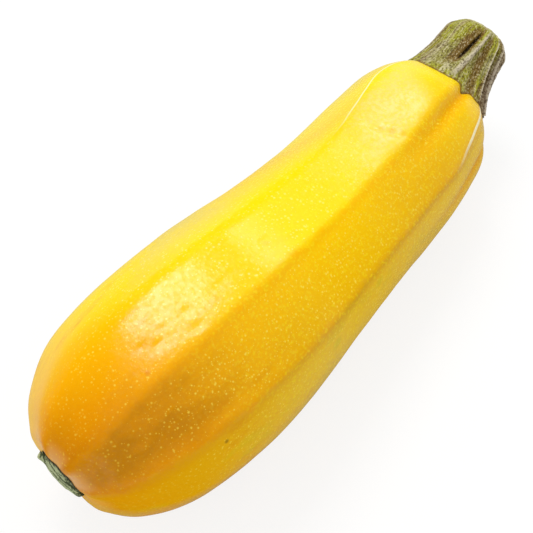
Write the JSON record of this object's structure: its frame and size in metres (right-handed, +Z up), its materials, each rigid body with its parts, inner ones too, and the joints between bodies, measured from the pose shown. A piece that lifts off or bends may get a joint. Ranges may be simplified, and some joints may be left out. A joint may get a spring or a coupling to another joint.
{
  "type": "yellow squash",
  "caption": "Picked yellow summer squash lying on its side: a long ridged fruit, fuller at the blossom end, with a short woody stem stub and a dry blossom scar.",
  "frame": {"origin": "on the table, under the middle of the squash's box as it lies on its side", "axes": "+X along the squash from the blossom end to the stem, +Z up, +Y to the left when looking towards the stem"},
  "size_m": [0.2062, 0.066, 0.0651],
  "materials": {
    "squash_skin": "waxy yellow skin with pale speckles, orange towards the blossom end",
    "stem_wood": "dull fibrous grey-green, brown in the grooves",
    "scar_cork": "dry ragged grey-green fibre"
  },
  "bodies": {
    "root": {"squash_body": "squash_skin", "stem": "stem_wood", "blossom_scar": "scar_cork"}
  },
  "joints": []
}
